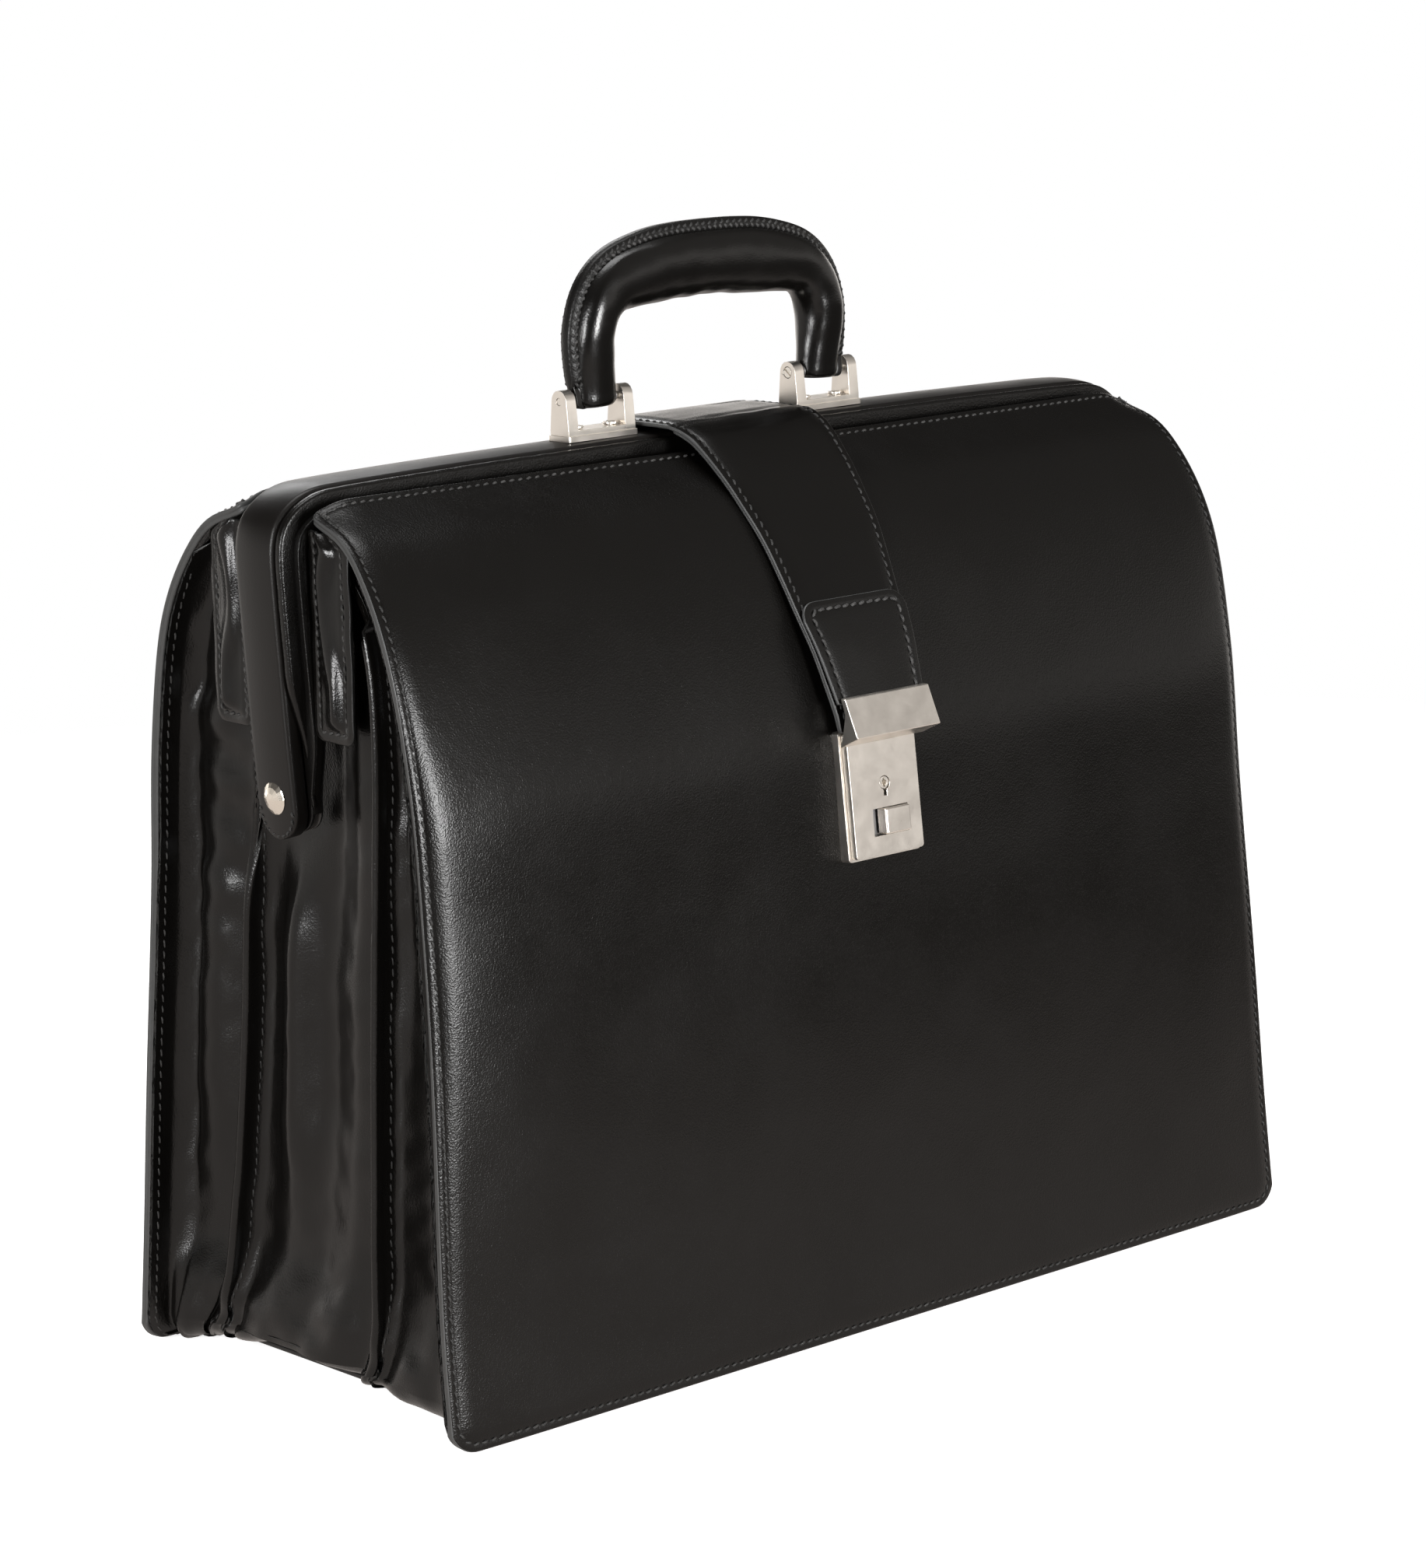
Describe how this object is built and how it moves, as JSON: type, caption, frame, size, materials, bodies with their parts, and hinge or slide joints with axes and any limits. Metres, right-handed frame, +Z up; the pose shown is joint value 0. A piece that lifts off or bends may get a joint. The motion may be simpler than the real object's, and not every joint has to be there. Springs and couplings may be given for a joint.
{
  "type": "framed doctor bag",
  "caption": "Black leather framed doctor bag: hinged wide-mouth frame, pleated three-compartment sides, arched handle on metal brackets, tapered strap with flip lock.",
  "frame": {"origin": "centre of the flat underside", "axes": "+X along the bag's length, front (lock side) faces -Y, +Z up"},
  "size_m": [0.431, 0.1971, 0.4112],
  "materials": {
    "panel_leather": "polished black calf, fine grain, waxed edges",
    "gloss_leather": "glossy soft black leather with creases",
    "bottom_leather": "matt black leather",
    "lining_leather": "matt dark suede lining",
    "board": "bonded leather fibre board",
    "satin_nickel": "satin nickel plate",
    "polished_nickel": "polished nickel",
    "steel": "plain steel"
  },
  "bodies": {
    "base": {"bottom_leather": "bottom_leather", "bottom_board": "board", "gusset_left": "gloss_leather", "gusset_right": "gloss_leather", "divider_front": "lining_leather", "divider_rear": "lining_leather"},
    "front_panel_body": {"front_panel": "panel_leather", "corner_facing_front_left": "gloss_leather", "corner_facing_front_right": "gloss_leather", "lock_case": "satin_nickel", "lock_face_plate": "satin_nickel", "lock_spring": "steel", "lock_backing_plate": "steel", "lock_screw_left": "steel", "lock_screw_right": "steel"},
    "front_frame": {"front_frame_cover": "gloss_leather", "front_frame_steel": "steel", "front_frame_lining": "lining_leather", "top_seam_strip_front": "gloss_leather"},
    "back_panel_body": {"back_panel": "panel_leather", "corner_facing_back_left": "gloss_leather", "corner_facing_back_right": "gloss_leather", "strap_tail": "panel_leather"},
    "back_frame": {"band_cover": "panel_leather", "back_frame_steel": "steel", "band_lining": "panel_leather", "rivet_left": "polished_nickel", "rivet_right": "polished_nickel", "rivet_washer_left": "steel", "rivet_washer_right": "steel", "top_seam_strip_back": "gloss_leather", "handle_bracket_left": "satin_nickel", "handle_bracket_right": "satin_nickel", "bracket_stud_left_inner": "satin_nickel", "bracket_stud_left_outer": "satin_nickel", "bracket_stud_right_inner": "satin_nickel", "bracket_stud_right_outer": "satin_nickel", "handle_pin_left": "satin_nickel", "handle_pin_right": "satin_nickel", "strap_bridge": "panel_leather"},
    "handle": {"handle_cover": "gloss_leather", "handle_core": "steel", "handle_barrel_left": "steel", "handle_barrel_right": "steel"},
    "strap": {"strap_flap": "panel_leather", "strap_flap_lining": "lining_leather", "strap_patch": "panel_leather", "hasp": "satin_nickel", "hasp_back_plate": "satin_nickel", "hasp_tongue": "steel"},
    "lock_button_body": {"lock_button": "satin_nickel", "lock_bolt": "steel"},
    "key_cylinder_body": {"key_cylinder": "steel"}
  },
  "joints": [
    {"name": "mouth_open", "type": "hinge", "parent": "base", "child": "front_panel_body", "pos_m": [0, -0.093, 0.002], "axis": [1, 0, 0], "range_deg": [0, 8]},
    {"name": "back_panel_tilt", "type": "hinge", "parent": "base", "child": "back_panel_body", "pos_m": [0, 0.093, 0.002], "axis": [1, 0, 0], "range_deg": [-8, 0]},
    {"name": "front_frame_swing", "type": "hinge", "parent": "front_panel_body", "child": "front_frame", "pos_m": [0, -0.022, 0.325], "axis": [1, 0, 0], "range_deg": [0, 19.36]},
    {"name": "back_frame_swing", "type": "hinge", "parent": "back_panel_body", "child": "back_frame", "pos_m": [0, 0.022, 0.325], "axis": [1, 0, 0], "range_deg": [-19.36, 0]},
    {"name": "handle_swing", "type": "hinge", "parent": "back_frame", "child": "handle", "pos_m": [0, 0, 0.3495], "axis": [1, 0, 0], "range_deg": [-75, 75]},
    {"name": "strap_lift", "type": "hinge", "parent": "back_frame", "child": "strap", "pos_m": [0, -0.0168, 0.3389], "axis": [1, 0, 0], "range_deg": [-48, 0]},
    {"name": "lock_button_slide", "type": "slide", "parent": "front_panel_body", "child": "lock_button_body", "axis": [-1, 0, 0], "range_m": [0, 0.0042], "stiffness_N_per_m": 120, "springref_m": -0.004, "deforming": ["lock_spring"]},
    {"name": "key_turn", "type": "hinge", "parent": "front_panel_body", "child": "key_cylinder_body", "pos_m": [0, -0.09264, 0.20778], "axis": [0, -0.9945, 0.1045], "range_deg": [0, 90]}
  ],
  "couplings": [
    {"joint": "back_panel_tilt", "follows": "mouth_open", "ratio": -1},
    {"joint": "front_frame_swing", "follows": "mouth_open", "ratio": 2.42},
    {"joint": "back_frame_swing", "follows": "mouth_open", "ratio": -2.42},
    {"joint": "strap_lift", "follows": "mouth_open", "ratio": -6}
  ]
}
